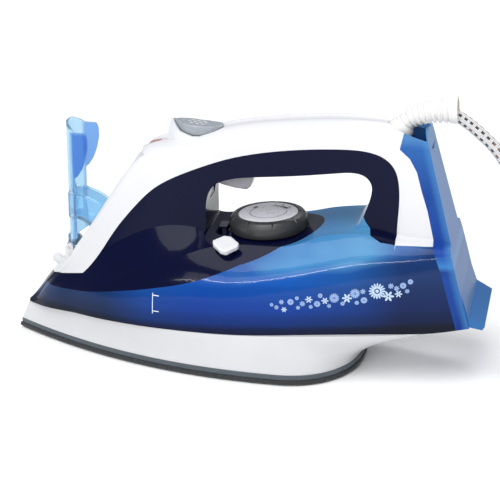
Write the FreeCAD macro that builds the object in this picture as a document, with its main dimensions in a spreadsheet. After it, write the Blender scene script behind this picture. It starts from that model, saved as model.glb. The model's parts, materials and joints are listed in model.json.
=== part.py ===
import FreeCAD, Part
import math
import os
from FreeCAD import Placement, Rotation, Vector

# Steam iron standing on its soleplate.  +X runs from the nose to the heel, +Z up, Y across.
# The drawing datum lies 2.2 mm behind the middle of the footprint, and every sub-part's
# Placement moves it by datum_x, so that the origin is under the middle of the whole iron.

DIMENSIONS = {
    "datum_x": -2.2,
    "nose_x": -149.2,
    "heel_x": 153.6,
    "sole_tail_x": 78.8,
    "sole_middle_x": 30.0,
    "sole_half_width": 56.0,
    "sole_thickness": 3.4,
    "rim_top_z": 6.5,
    "casting_top_z": 12.0,
    "steam_hole_dia": 2.6,
    "element_dia": 6.4,
    "seal_length": 82.0,
    "seal_width": 42.0,
    "seal_band": 5.5,
    "seal_thickness": 0.8,
    "cover_thickness": 1.6,
    "drip_hole_dia": 6.4,
    "thermostat_dia": 21.0,
    "thermostat_height": 9.0,
    "clip_thickness": 1.2,
    "capsule_dia": 5.6,
    "capsule_length": 22.0,
    "shell_wall": 2.4,
    "dial_x": 16.2,
    "dial_floor_z": 80.4,
    "dial_tilt": 3.5,
    "dial_dia": 48.7,
    "dial_cap_dia": 37.4,
    "dial_cap_height": 1.6,
    "spindle_dia": 5.96,
    "spindle_length": 68.4,
    "well_dia": 10.0,
    "lid_hinge_x": -110.6,
    "lid_hinge_z": 61.7,
    "lid_length": 82.0,
    "lid_half_width": 13.2,
    "lid_pin_dia": 2.4,
    "neck_dia": 9.6,
    "neck_bore": 7.4,
    "neck_height": 12.1,
    "gasket_dia": 12.0,
    "gasket_thickness": 1.4,
    "valve_dia": 6.2,
    "valve_bore": 3.8,
    "valve_height": 18.0,
    "needle_dia": 3.0,
    "needle_length": 55.0,
    "pump_bore": 8.0,
    "pump_wall": 1.5,
    "pump_height": 20.0,
    "pump_slack": 0.05,
    "piston_height": 4.0,
    "rod_dia": 3.2,
    "trigger_pin_dia": 2.0,
    "trigger_pin_length": 17.0,
    "selector_length": 6.4,
    "selector_width": 8.4,
    "selector_thickness": 1.5,
    "knob_height": 3.8,
    "knob_stem_dia": 5.4,
    "knob_stem_length": 14.0,
    "lens_width": 5.6,
    "lamp_dia": 4.8,
    "lamp_height": 9.0,
    "terminal_width": 22.0,
    "terminal_height": 12.0,
    "ball_dia": 16.0,
    "cord_dia": 7.5,
    "coil_x": 224.0,
    "coil_middle_radius": 41.25,
    "plug_pin_dia": 4.8,
    "plug_pin_length": 19.0,
}

doc = FreeCAD.newDocument("steam_iron")
sheet = doc.addObject("Spreadsheet::Sheet", "dims")
for row, (alias, value) in enumerate(DIMENSIONS.items(), start=1):
    sheet.set("A%d" % row, alias)
    sheet.set("B%d" % row, str(value))
    sheet.setAlias("B%d" % row, alias)
doc.recompute()

D = {alias: float(sheet.get(alias)) for alias in DIMENSIONS}
DATUM = Vector(D["datum_x"], 0, 0)
WALL = D["shell_wall"]
BIG = 400.0
nodes = []


# ---------------------------------------------------------------- document helpers
def node(obj, label):
    """Register obj as one sub-part and give it its name."""
    obj.Label = label
    nodes.append(obj)
    return obj


def feature(label, shape):
    """A sub-part whose free-form shape is built by this file; the Placement comes after the Shape."""
    obj = doc.addObject("Part::Feature", label)
    obj.Shape = shape
    obj.Placement = Placement(DATUM, Rotation()).multiply(shape.Placement)
    return node(obj, label)


def place(obj, at, axis=(0, 0, 1)):
    turn = Rotation(Vector(0, 0, 1), Vector(*axis))
    obj.Placement = Placement(Vector(*at) + DATUM, turn)
    return obj


def cylinder(name, radius, height, at, axis=(0, 0, 1)):
    """Part cylinder whose radius and height are expressions over the sheet."""
    obj = doc.addObject("Part::Cylinder", name)
    obj.setExpression("Radius", radius)
    obj.setExpression("Height", height)
    return place(obj, at, axis)


def box(name, length, width, height, at, axis=(0, 0, 1)):
    """Part box centred on at in X and Y, standing on it in Z."""
    obj = doc.addObject("Part::Box", name)
    obj.setExpression("Length", length)
    obj.setExpression("Width", width)
    obj.setExpression("Height", height)
    doc.recompute()
    turn = Rotation(Vector(0, 0, 1), Vector(*axis))
    corner = turn.multVec(Vector(-obj.Length.Value / 2, -obj.Width.Value / 2, 0))
    obj.Placement = Placement(Vector(*at) + DATUM + corner, turn)
    return obj


def fuse(name, *parts):
    obj = doc.addObject("Part::MultiFuse", name)
    obj.Shapes = list(parts)
    return obj


def cut(name, base, tool):
    obj = doc.addObject("Part::Cut", name)
    obj.Base = base
    obj.Tool = tool
    return obj


def body_sketch(body, role, name):
    """A sketch on one of the body's own origin planes."""
    plane = [f for f in body.Origin.OriginFeatures if f.Role == role][0]
    sketch = body.newObject("Sketcher::SketchObject", name)
    sketch.AttachmentSupport = [(plane, "")]
    sketch.MapMode = "FlatFace"
    return sketch


def closed_polygon(sketch, points):
    """Add a closed outline of straight lines through (x, y) points."""
    count = len(points)
    for index in range(count):
        start, end = points[index], points[(index + 1) % count]
        sketch.addGeometry(Part.LineSegment(Vector(*start, 0), Vector(*end, 0)), False)


def revolved_body(name, outline, at, axis=(0, 0, 1)):
    """PartDesign body turned from an (r, z) outline about its own Z axis."""
    body = doc.addObject("PartDesign::Body", name)
    sketch = body_sketch(body, "XZ_Plane", name + "_outline")
    closed_polygon(sketch, outline)
    turned = body.newObject("PartDesign::Revolution", name + "_turned")
    turned.Profile = sketch
    turned.ReferenceAxis = (sketch, ["V_Axis"])
    turned.Angle = 360.0
    return place(body, at, axis)


def padded_body(name, outline, height, at, axis=(0, 0, 1)):
    """PartDesign body padded up by an expression from an (x, y) outline."""
    body = doc.addObject("PartDesign::Body", name)
    sketch = body_sketch(body, "XY_Plane", name + "_outline")
    closed_polygon(sketch, outline)
    pad = body.newObject("PartDesign::Pad", name + "_pad")
    pad.Profile = sketch
    pad.setExpression("Length", height)
    return place(body, at, axis)


# ---------------------------------------------------------------- shape helpers
def polygon_wire(points):
    return Part.makePolygon([Vector(*p) for p in points] + [Vector(*points[0])])


def side_prism(points, half_depth=BIG):
    """Solid whose side view is the closed (x, z) outline, across the whole width."""
    wire = polygon_wire([(x, -half_depth, z) for x, z in points])
    return Part.Face(wire).extrude(Vector(0, 2 * half_depth, 0))


def smooth_side_prism(curve, closing):
    """Like side_prism, with a smooth curve closed by straight lines."""
    spline = Part.BSplineCurve()
    spline.interpolate([Vector(x, -BIG, z) for x, z in curve])
    corners = [Vector(x, -BIG, z) for x, z in [curve[-1]] + closing + [curve[0]]]
    edges = [spline.toShape()] + [Part.makeLine(a, b) for a, b in zip(corners, corners[1:])]
    return Part.Face(Part.Wire(edges)).extrude(Vector(0, 2 * BIG, 0))


def plan_outline(tip, middle, tail, half_width, front_power, tail_power, z, steps=14):
    """Closed boat-shaped outline at height z: pointed at the tip, widest at middle, round at the tail."""
    side = []
    for index in range(steps + 1):
        share = index / steps
        across = half_width * (1 - (1 - share) ** front_power)
        side.append((tip + share * (middle - tip), across))
    for index in range(1, steps + 1):
        share = math.sin(math.pi / 2 * index / steps)
        across = half_width * max(0.0, 1 - share ** tail_power) ** (1 / tail_power)
        side.append((middle + share * (tail - middle), across))
    near = [Vector(x, -y, z) for x, y in side]
    far = [Vector(x, y, z) for x, y in reversed(side[1:-1])]
    spline = Part.BSplineCurve()
    spline.interpolate(near + far + [near[0]])
    return Part.Wire([spline.toShape()])


def sole_outline(inset, z):
    """The soleplate's outline, drawn in by inset all round."""
    return plan_outline(D["nose_x"] + 1.7 * inset, D["sole_middle_x"], D["sole_tail_x"] - inset,
                        D["sole_half_width"] - inset, 2.1, 2.2, z)


def loft(wires, ruled=False):
    return Part.makeLoft(wires, True, ruled)


def slab(wire, height):
    return Part.Face(wire).extrude(Vector(0, 0, height))


def rounded_path(points, share=0.45):
    """Straight runs joined by tangent arcs; returns the wire, its length and its arc radii."""
    corners = [Vector(*p) for p in points]
    edges, radii = [], []
    start = corners[0]
    for before, corner, after in zip(corners, corners[1:], corners[2:]):
        back, ahead = (before - corner), (after - corner)
        trim = share * min(back.Length, ahead.Length)
        back.normalize()
        ahead.normalize()
        turn = math.pi - back.getAngle(ahead)
        radius = trim / math.tan(turn / 2)
        radii.append(radius)
        first, last = corner + back * trim, corner + ahead * trim
        to_centre = (back + ahead).normalize()
        middle = corner + to_centre * (radius / math.cos(turn / 2) - radius)
        edges.append(Part.LineSegment(start, first).toShape())
        edges.append(Part.Arc(first, middle, last).toShape())
        start = last
    edges.append(Part.LineSegment(start, corners[-1]).toShape())
    return Part.Wire(edges), sum(e.Length for e in edges), radii


def tube(points, radius, name):
    """Round bar along a rounded path, checked against its section times its length."""
    path, length, radii = rounded_path(points)
    heading = Vector(*points[1]) - Vector(*points[0])
    ring = Part.Wire([Part.makeCircle(radius, Vector(*points[0]), heading)])
    solid = path.makePipeShell([ring], True, True)
    expected = math.pi * radius ** 2 * length
    print("%s: length %.1f, volume %.0f of %.0f, radii %s"
          % (name, length, solid.Volume, expected, [round(r, 1) for r in radii]))
    return solid


def bar(radius, start, end):
    """Plain round bar between two points."""
    heading = Vector(*end) - Vector(*start)
    return Part.makeCylinder(radius, heading.Length, Vector(*start), heading)


def block(x, y, z):
    """Plain box from its (low, high) pairs."""
    return Part.makeBox(x[1] - x[0], y[1] - y[0], z[1] - z[0], Vector(x[0], y[0], z[0]))


# ---------------------------------------------------------------- the envelope of the shells
# Cross-sections of the whole upper body, nose to heel.  Each row gives x, then (half width, z) of the
# bottom edge, the tank's ridge, the body's shoulder, the foot of the handle and the handle's side,
# and last the height of the crest.
STATIONS = [
    (-141.5, (1.2, 19.0), (1.1, 19.4), (1.0, 19.8), (0.9, 20.2), (0.8, 20.5), 20.9),
    (-130.0, (11.5, 20.9), (10.5, 24.5), (9.0, 27.5), (7.8, 29.5), (5.5, 32.0), 35.5),
    (-124.4, (15.6, 21.8), (14.5, 27.0), (12.5, 33.0), (10.8, 36.5), (8.0, 39.0), 43.0),
    (-110.6, (23.0, 23.6), (22.2, 31.5), (18.5, 43.0), (16.0, 49.0), (13.8, 53.5), 62.7),
    (-98.0, (29.0, 24.7), (28.3, 36.0), (23.0, 50.0), (19.5, 58.0), (15.6, 69.5), 82.4),
    (-89.5, (33.0, 25.2), (32.2, 38.5), (26.0, 53.0), (21.0, 64.0), (16.2, 81.0), 95.8),
    (-70.5, (40.2, 26.3), (39.0, 42.5), (31.5, 58.0), (22.5, 76.0), (17.0, 110.0), 123.6),
    (-58.0, (43.8, 26.9), (42.5, 46.0), (34.0, 63.0), (22.5, 82.0), (17.2, 120.5), 131.8),
    (-40.0, (47.0, 27.4), (45.6, 50.5), (36.0, 68.5), (21.0, 86.0), (17.2, 127.0), 136.8),
    (-22.0, (48.8, 27.8), (47.5, 54.5), (34.5, 75.5), (19.0, 84.0), (16.8, 132.0), 141.8),
    (-5.0, (49.4, 28.1), (48.2, 57.5), (31.0, 79.2), (17.0, 80.4), (16.2, 136.5), 146.4),
    (20.0, (48.6, 29.1), (47.8, 61.5), (28.5, 82.3), (16.5, 83.4), (16.2, 141.0), 150.6),
    (45.0, (46.5, 30.7), (46.0, 66.3), (27.0, 86.5), (16.5, 87.5), (16.2, 143.5), 153.2),
    (70.0, (43.8, 32.0), (43.4, 70.6), (26.5, 90.2), (17.5, 91.2), (16.2, 144.5), 154.4),
    (90.0, (41.0, 32.7), (40.6, 73.2), (26.0, 89.6), (19.5, 90.8), (16.2, 143.0), 153.4),
    (105.0, (38.8, 33.0), (38.4, 74.0), (26.5, 87.6), (20.5, 89.0), (16.2, 141.5), 152.2),
    (125.0, (35.8, 34.2), (35.4, 74.0), (28.5, 86.0), (22.0, 87.6), (17.5, 141.0), 152.0),
    (158.0, (31.5, 38.0), (31.5, 74.0), (29.5, 85.0), (23.5, 87.0), (19.0, 141.0), 152.0),
]
NOSE_STATION_X = -60.0
FLANK_SHARES = [0.0, 0.42, 0.62, 1.0]
ARCH_SHARES = [0.0, 0.25, 0.5, 0.75, 1.0]
BOTTOM_LINE = [(row[0], row[1][1]) for row in STATIONS]


def between(start, end, share):
    """Point a share of the way from one (half width, z) to another."""
    return (start[0] + share * (end[0] - start[0]), start[1] + share * (end[1] - start[1]))


def arched(points, shares, rise=None):
    """Smooth edge through the points; rise makes it leave and arrive upright."""
    spline = Part.BSplineCurve()
    if rise:
        spline.interpolate(points, Parameters=shares, InitialTangent=Vector(0, 0, rise),
                           FinalTangent=Vector(0, 0, -rise))
    else:
        spline.interpolate(points, Parameters=shares)
    return spline.toShape()


def station_wire(row, inset=0.0):
    """One closed cross-section; inset draws every wall in for the shells' inner faces."""
    x, bottom, ridge, shoulder, foot, side, crest = row
    round_drop = (crest - side[1]) * (0.32 if x < NOSE_STATION_X else 0.14)
    bottom = (bottom[0] - inset, bottom[1] + inset)
    ridge = (ridge[0] - inset, ridge[1])
    shoulder = (shoulder[0] - inset, shoulder[1] - 0.7 * inset)
    foot = (foot[0] - inset, foot[1] - 0.5 * inset)
    side = (side[0] - inset, side[1] - 0.5 * inset)
    crown = (side[0] * 0.62, crest - round_drop - inset)
    flank = [bottom, between(bottom, ridge, 0.78), between(ridge, shoulder, 0.16), shoulder]

    def at(point, sign):
        return Vector(x, sign * point[0], point[1])

    near_flank = arched([at(p, -1) for p in flank], FLANK_SHARES)
    far_flank = arched([at(p, 1) for p in reversed(flank)], [1 - t for t in reversed(FLANK_SHARES)])
    arch = [at(side, -1), at(crown, -1), Vector(x, 0, crest - inset), at(crown, 1), at(side, 1)]
    top = arched(arch, ARCH_SHARES, 3.0 * (crown[1] - side[1]))
    lines = [Part.makeLine(at(a, sign), at(b, sign)) for a, b, sign in
             ((shoulder, foot, -1), (foot, side, -1), (side, foot, 1), (foot, shoulder, 1))]
    floor = Part.makeLine(at(bottom, 1), at(bottom, -1))
    return Part.Wire([floor, near_flank, lines[0], lines[1], top, lines[2], lines[3], far_flank])


HEEL_LEAN = 0.275
HEEL_BASE = (144.2, 38.0)


def heel_x(z):
    """The heel plane leans forward as it rises."""
    return HEEL_BASE[0] - HEEL_LEAN * (z - HEEL_BASE[1])


def behind_heel(inset):
    return side_prism([(heel_x(-20) - inset, -20), (BIG, -20), (BIG, 200), (heel_x(200) - inset, 200)])


WINDOW = [(-20.0, 82.6), (-19.9, 97.0), (-18.6, 106.0), (-15.5, 111.6), (-9.0, 115.2), (8.0, 118.4),
          (34.0, 121.0), (61.0, 124.6), (71.0, 125.4), (77.6, 123.6), (81.4, 119.0), (81.6, 113.0),
          (78.4, 102.0), (74.6, 93.8)]
WINDOW_FLOOR = [(66.0, 90.0), (52.0, 87.4), (40.0, 83.2), (20.0, 80.4), (-5.0, 78.8), (-14.0, 78.4)]


def window_prism(grow):
    """The finger gap through the handle, grown by a wall's thickness for the inner faces."""
    middle_x, middle_z = 30.0, 103.0
    floor_band = 93.0
    outline = []
    for x, z in WINDOW + WINDOW_FLOOR:
        share = grow / math.hypot(x - middle_x, z - middle_z)
        lift = -grow if z < floor_band else 1.6 * share * (z - middle_z)
        outline.append(Vector(x + 1.25 * share * (x - middle_x), -BIG, z + lift))
    rim = Part.BSplineCurve()
    rim.interpolate(outline, PeriodicFlag=True)
    return Part.Face(Part.Wire([rim.toShape()])).extrude(Vector(0, 2 * BIG, 0))


outer = loft([station_wire(row) for row in STATIONS]).cut(behind_heel(0.0))
inner_rows = [row for row in STATIONS if row[0] > -128.0]
inner = loft([station_wire(row, WALL) for row in inner_rows]).cut(behind_heel(WALL))
outer = outer.cut(window_prism(0.0))
inner = inner.cut(window_prism(WALL))

# Side-view curves that divide the envelope into its shells.
WHITE_EDGE = [(-98.5, 50.3), (-90.3, 59.7), (-76.8, 80.4), (-64.7, 95.8), (-52.0, 108.5), (-39.4, 116.1),
              (-24.2, 122.8), (-9.4, 128.3), (20.3, 135.4), (62.1, 139.6), (80.1, 138.8), (89.0, 135.6),
              (95.0, 129.6), (98.0, 120.0), (98.6, 107.3), (98.4, 84.0)]
TANK_EDGE = [(-127.5, 36.0), (-112.0, 37.6), (-98.0, 39.8), (-73.0, 45.6), (-44.0, 53.0), (-26.0, 58.0),
             (-14.0, 62.2), (-4.0, 66.2), (6.0, 70.6)]
COVER_EDGE = [(99.6, 152.0), (97.6, 141.8), (103.8, 136.4), (108.4, 128.6), (111.5, 118.0), (115.8, 105.4),
              (120.6, 86.2), (126.0, 73.4), (136.2, 38.0), (138.5, 20.0)]

above_white = smooth_side_prism(WHITE_EDGE, [(98.4, 86.4), (230.0, 86.4), (230.0, 230.0), (-230.0, 230.0),
                                             (-230.0, 30.0), (-128.0, 42.0), (-116.0, 45.6)])
above_tank = smooth_side_prism(TANK_EDGE, [(6.0, 200.0), (-200.0, 200.0), (-200.0, 36.0)])
behind_cover = side_prism(COVER_EDGE + [(260.0, 20.0), (260.0, 220.0), (99.6, 220.0)])
pod_top = Part.Ellipse(Vector(-6.0, 0, 50.0), 56.5, 41.0)
pod_column = slab(Part.Wire([pod_top.toShape()]), 50.0).common(block((6, 60), (-60, 60), (62.0, 100.0)))
# The grip's liner: round the finger gap, with a curved foot where the rear pillar meets the tank.
LINER_EDGE = [(-22.0, 92.5), (66.0, 92.5), (73.6, 110.0), (75.7, 103.0), (78.4, 95.9), (82.9, 90.2),
              (89.3, 87.5), (99.2, 86.4), (130.0, 86.4), (130.0, 200.0), (-22.0, 200.0)]
handle_zone = side_prism(LINER_EDGE, 40.0)

shell = outer.cut(inner)
rear_shell = shell.common(behind_cover)
front_shell = shell.cut(behind_cover)
white_shell = front_shell.common(above_white)
dark_shell = front_shell.cut(above_white)
liner_shell = dark_shell.common(handle_zone)
pod_shell = dark_shell.cut(handle_zone).common(above_tank.fuse(pod_column))

# The filler's recess in the nose slope, and the well that the lid's chute drops into.
HINGE = Vector(D["lid_hinge_x"], 0, D["lid_hinge_z"])
SLOPE = 57.3
CLOSING = 90.0 - SLOPE


def on_slope(shape):
    """Turn a shape drawn on the open, upright lid's frame down onto the nose slope."""
    turned = shape.copy()
    turned.rotate(HINGE, Vector(0, 1, 0), CLOSING)
    return turned


def chute_sector(inner_radius, outer_radius, half_width, angle):
    """Sector about the hinge line, from the upright lid towards the handle."""
    ring = Part.makeCylinder(outer_radius, 2 * half_width, Vector(HINGE.x, -half_width, HINGE.z),
                             Vector(0, 1, 0), angle)
    core = Part.makeCylinder(inner_radius, 2 * half_width, Vector(HINGE.x, -half_width, HINGE.z),
                             Vector(0, 1, 0), angle)
    return ring.cut(core)


LID_SIDE = D["lid_half_width"]
LID_WALL = 1.6
CHUTE_IN, CHUTE_OUT, CHUTE_SIDE, CHUTE_ANGLE = 20.0, 36.5, 9.0, 60.0


def lid_arch(half_width, sag, length, thickness, x_crest, z_start):
    """Arched panel standing up from z_start, its crest line at x_crest, hollow side towards +X."""
    radius = (half_width ** 2 + sag ** 2) / (2 * sag)
    edge_angle = math.asin(half_width / radius)
    arcs = []
    for reach in (radius, radius - thickness):
        centre_x = x_crest + radius
        ends = [Vector(centre_x - reach * math.cos(a), reach * math.sin(a), z_start)
                for a in (-edge_angle, 0.0, edge_angle)]
        arcs.append((Part.Arc(*ends).toShape(), ends))
    (outer_arc, outer_ends), (inner_arc, inner_ends) = arcs
    rim = [outer_arc, Part.makeLine(outer_ends[2], inner_ends[2]), inner_arc,
           Part.makeLine(inner_ends[0], outer_ends[0])]
    return slab(Part.Wire(rim), length)


# ---------------------------------------------------------------- sole, heater and skirt
def make_soleplate():
    layers = [(1.3, 0.0), (0.0, 1.3), (0.3, D["sole_thickness"])]
    plate = loft([sole_outline(inset, z) for inset, z in layers], ruled=True)
    radius = D["steam_hole_dia"] / 2
    holes = []
    for row_inset, count in ((11.0, 9), (24.0, 6)):
        for index in range(count):
            x = -112.0 + 1.1 * row_inset + index * 14.5
            reach = (x - D["nose_x"]) / (D["sole_middle_x"] - D["nose_x"])
            y = (D["sole_half_width"] * (1 - (1 - reach) ** 2.1)) - row_inset
            if y > 4.0:
                for side in (-1, 1):
                    holes.append(Part.makeCylinder(radius, 8.0, Vector(x, side * y, -2.0)))
    holes.append(Part.makeCylinder(radius, 8.0, Vector(-124.0, 0, -2.0)))
    return plate.cut(Part.makeCompound(holes))


ELEMENT_SIDE = [(66, 16, 8.2), (52, 27, 8.2), (10, 34, 8.2), (-40, 30, 8.2), (-85, 18, 8.2), (-112, 9, 8.2)]
ELEMENT_ROUTE = [(x, -y, z) for x, y, z in ELEMENT_SIDE] + list(reversed(ELEMENT_SIDE))


def make_casting():
    body = slab(sole_outline(5.0, D["sole_thickness"]), D["casting_top_z"] - D["sole_thickness"])
    chamber = block((-74, -4), (-15, 15), (7.0, 20.0))
    channel = tube(ELEMENT_ROUTE, D["element_dia"] / 2 + 0.1, "element channel")
    ends = [block((60, 90), (side * 18 - 8, side * 18 + 8), (5.0, 20.0)) for side in (-1, 1)]
    return body.cut(chamber).cut(channel).cut(ends[0]).cut(ends[1])


# Height, tip, widest place, tail, half width and the two powers of each level's plan outline.
SKIRT_LEVELS = [(D["rim_top_z"], -147.4, 30.0, 77.4, 54.6, 2.1, 2.2),
                (12.0, -145.0, 27.0, 82.0, 53.4, 2.1, 2.2),
                (21.0, -141.2, 14.0, 101.0, 51.2, 2.2, 2.3),
                (27.0, -138.5, 6.0, 122.0, 50.2, 2.3, 2.5),
                (31.0, -136.5, 2.0, 131.0, 49.6, 2.4, 2.8),
                (36.0, -134.0, 0.0, 138.0, 49.0, 2.4, 3.0)]


def skirt_form(inset):
    wires = [plan_outline(tip + 1.8 * inset, middle, tail - inset, wide - inset, front, rear, z)
             for z, tip, middle, tail, wide, front, rear in SKIRT_LEVELS]
    return loft(wires)


def under_line(drop):
    """Everything under the tank's bottom line, lowered by drop."""
    curve = [(x, z - drop) for x, z in BOTTOM_LINE]
    return smooth_side_prism(curve, [(170.0, 38.0), (170.0, -5.0), (-170.0, -5.0), (-170.0, 17.0)])


DRIP_X = -12.0
FILLER_X = -84.0
SCREW_SPOTS = [(-92.0, 0.0), (40.0, -16.0), (40.0, 16.0)]
SCREW_RADIUS = 1.6


def screw_bars(radius, low, high):
    return Part.makeCompound([bar(radius, (x, y, low), (x, y, high)) for x, y in SCREW_SPOTS])


def make_skirt():
    solid = skirt_form(0.0).common(under_line(0.15))
    hollow = skirt_form(2.2).common(under_line(2.2))
    passages = Part.makeCompound([Part.makeCylinder(7.0, 60.0, Vector(D["dial_x"], 0, 10)),
                                  Part.makeCylinder(5.0, 60.0, Vector(DRIP_X, 0, 10))])
    return solid.cut(hollow).cut(passages)


feature("soleplate", make_soleplate())
feature("sole_rim", slab(sole_outline(0.9, D["sole_thickness"]), D["rim_top_z"] - D["sole_thickness"]).cut(
    slab(sole_outline(4.4, D["sole_thickness"]), 10.0)))
feature("sole_casting", make_casting().cut(screw_bars(SCREW_RADIUS, 5.0, 30.0)))
feature("heating_element", tube(ELEMENT_ROUTE, D["element_dia"] / 2, "heating element"))
feature("base_skirt", make_skirt())

CHAMBER_X = -39.0
seal = cut("chamber_seal_ring",
           box("seal_outer", "dims.seal_length", "dims.seal_width", "dims.seal_thickness",
               (CHAMBER_X, 0, D["casting_top_z"])),
           box("seal_inner", "dims.seal_length - 2 * dims.seal_band", "dims.seal_width - 2 * dims.seal_band",
               "3 * dims.seal_thickness", (CHAMBER_X, 0, D["casting_top_z"] - D["seal_thickness"])))
node(seal, "chamber_seal")
cover_plate = cut("chamber_cover_plate",
                  box("cover_blank", "dims.seal_length + 2", "dims.seal_width + 2", "dims.cover_thickness",
                      (CHAMBER_X, 0, D["casting_top_z"] + D["seal_thickness"])),
                  cylinder("cover_drip_hole", "dims.drip_hole_dia / 2", "4 * dims.cover_thickness",
                           (DRIP_X, 0, 10.0)))
node(cover_plate, "steam_chamber_cover")

thermostat = fuse("thermostat_stack",
                  cylinder("thermostat_base", "dims.thermostat_dia / 2", "dims.thermostat_height",
                           (D["dial_x"], 0, D["casting_top_z"])),
                  box("thermostat_tab", "30", "7", "dims.clip_thickness",
                      (D["dial_x"] + 6, 0, D["casting_top_z"])))
node(thermostat, "thermostat")
fuse_body = fuse("thermal_fuse_stack",
                 cylinder("fuse_capsule", "dims.capsule_dia / 2", "dims.capsule_length",
                          (46.0, -D["capsule_length"] / 2, D["casting_top_z"] + 3.2), (0, 1, 0)),
                 box("fuse_clip", "7", "8", "dims.clip_thickness", (46.0, 0, D["casting_top_z"])))
node(fuse_body, "thermal_fuse")
terminal_parts = [box("element_tab_%d" % i, "dims.clip_thickness", "6", "12", (68.5, side * 16.0, 8.0))
                  for i, side in enumerate((-1, 1))]
node(fuse("element_terminal_pair", *terminal_parts), "element_terminals")
shield = slab(sole_outline(10.5, 18.8), 0.9).common(block((-104, 56), (-60, 60), (18, 30)))
shield = shield.cut(Part.makeCylinder(12.5, 20, Vector(D["dial_x"], 0, 12)))
shield = shield.cut(screw_bars(2.4, 12.0, 30.0))
feature("heat_shield", shield.cut(Part.makeCylinder(6.0, 20, Vector(DRIP_X, 0, 12))))
feature("sole_screws", screw_bars(SCREW_RADIUS, 6.0, 20.0))

# ---------------------------------------------------------------- tank, pod, grip, handle, heel
TANK_ROOM = [(-116.0, 29.5), (-98.0, 36.0), (-73.0, 42.0), (-44.0, 49.5), (-26.0, 54.0), (-4.0, 60.0),
             (49.0, 60.0), (56.0, 84.5), (96.0, 84.5), (114.0, 83.0), (123.0, 72.0), (132.5, 41.0), (130.0, 30.0),
             (-60.0, 20.0), (-116.0, 20.0)]
DIAL_AT = Vector(D["dial_x"], 0, D["dial_floor_z"])
dial_axis = Vector(-math.sin(math.radians(D["dial_tilt"])), 0, math.cos(math.radians(D["dial_tilt"])))


def on_dial_axis(radius, low, high):
    """Bar on the dial's tilted axis, between two heights above the dial's floor."""
    return bar(radius, tuple(DIAL_AT + dial_axis * low), tuple(DIAL_AT + dial_axis * high))


SPINDLE_WELL = on_dial_axis(D["well_dia"] / 2 + 2.0, -60.0, -2.0)
SPINDLE_HOLE = on_dial_axis(D["well_dia"] / 2, -70.0, 30.0)


def make_tank():
    region = outer.cut(behind_cover).cut(above_tank).cut(pod_column).cut(above_white).cut(handle_zone)
    region = region.cut(inner.common(block((60, 130), (-60, 60), (86.6, 120))))
    room = inner.common(side_prism(TANK_ROOM))
    drip_post = bar(6.5, (DRIP_X, 0, 22), (DRIP_X, 0, 36))
    walls = region.cut(room)
    walls = walls.fuse(SPINDLE_WELL.common(region)).cut(SPINDLE_HOLE)
    walls = walls.fuse(drip_post.common(room))
    for radius, x, low, high in ((3.5, DRIP_X, 12, 40), (2.2, DRIP_X, 40, 75), (5.0, FILLER_X, 38, 60)):
        walls = walls.cut(bar(radius, (x, 0, low), (x, 0, high)))
    return max(walls.Solids, key=lambda solid: solid.Volume)


CORD_ROOT = Vector(95.5, 0, 149.0)
BALL_RADIUS = D["ball_dia"] / 2
selector_slot = block((-14.6, -9.4), (-10.5, 10.5), (60.0, 100.0))
knob_axis = Vector(0.06, -0.5, 0.86).normalize()
KNOB_AT = Vector(-4.0, -33.0, 75.2)
knob_hole = bar(3.1, tuple(KNOB_AT - knob_axis * 12.4), tuple(KNOB_AT + knob_axis * 8))
dial_seat = on_dial_axis(D["dial_dia"] / 2 + 0.6, 0.0, 20.0)

TRIGGER_PIVOT = (-17.5, 112.6)
trigger_gap = block((-26.0, 12.0), (-6.6, 6.6), (107.6, 128.0)).fuse(
    block((-20.0, 12.0), (-6.6, 6.6), (100.0, 128.0)))
trigger_pin_hole = bar(D["trigger_pin_dia"] / 2, (TRIGGER_PIVOT[0], -10, TRIGGER_PIVOT[1]),
                       (TRIGGER_PIVOT[0], 10, TRIGGER_PIVOT[1]))
pod_hollow = block((-125.0, -26.0), (-30.0, 30.0), (40.0, 130.0))
pod_shell = pod_shell.cut(trigger_gap).cut(trigger_pin_hole)
pod = pod_shell.cut(SPINDLE_HOLE).cut(selector_slot).cut(knob_hole).cut(dial_seat)
feature("water_tank", make_tank().cut(dial_seat).cut(knob_hole))
feature("front_pod", pod)
feature("grip_liner", liner_shell.cut(trigger_gap).cut(trigger_pin_hole))


def button_plan(grow, z, height):
    """Plan form of the spray button, a long boat with a blunt rear end."""
    return slab(plan_outline(-43.6 - grow, -30.0, -12.4 + grow, 7.6 + grow, 2.6, 2.6, z), height)


button_well = button_plan(0.6, 132.5, 40.0)
nozzle_at = Vector(-119.5, 0, 48.6)
nozzle_axis = Vector(-0.8, 0, 0.6)
nozzle_hole = bar(3.1, tuple(nozzle_at - nozzle_axis * 8), tuple(nozzle_at + nozzle_axis * 8))
lens_hole = block((-59.0, -51.6), (-3.0, 3.0), (120.0, 140.0))


LID_ROOM_DEPTH = 7.4
SPOUT_DEPTH = 15.5
TRAY_WALL = 1.5


def recess(grow):
    """Room for the shut lid, its chute and its spout; grow adds the filler tray's wall."""
    across = (-LID_SIDE - 0.7 - grow, LID_SIDE + 0.7 + grow)
    top = HINGE.z + D["lid_length"] + 1.0 + grow
    panel = on_slope(block((HINGE.x - 40, HINGE.x + LID_ROOM_DEPTH + grow), across,
                           (HINGE.z - 3.4 - grow, top)))
    well = chute_sector(CHUTE_IN - 1.2 - grow, CHUTE_OUT + 1.2 + grow, CHUTE_SIDE + 1.0 + grow,
                        112.0 + 2 * grow)
    pocket = on_slope(block((HINGE.x, HINGE.x + SPOUT_DEPTH + 1.2 + grow), across,
                            (HINGE.z + 44.5 - grow, top)))
    return panel.fuse(well).fuse(pocket)


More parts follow.
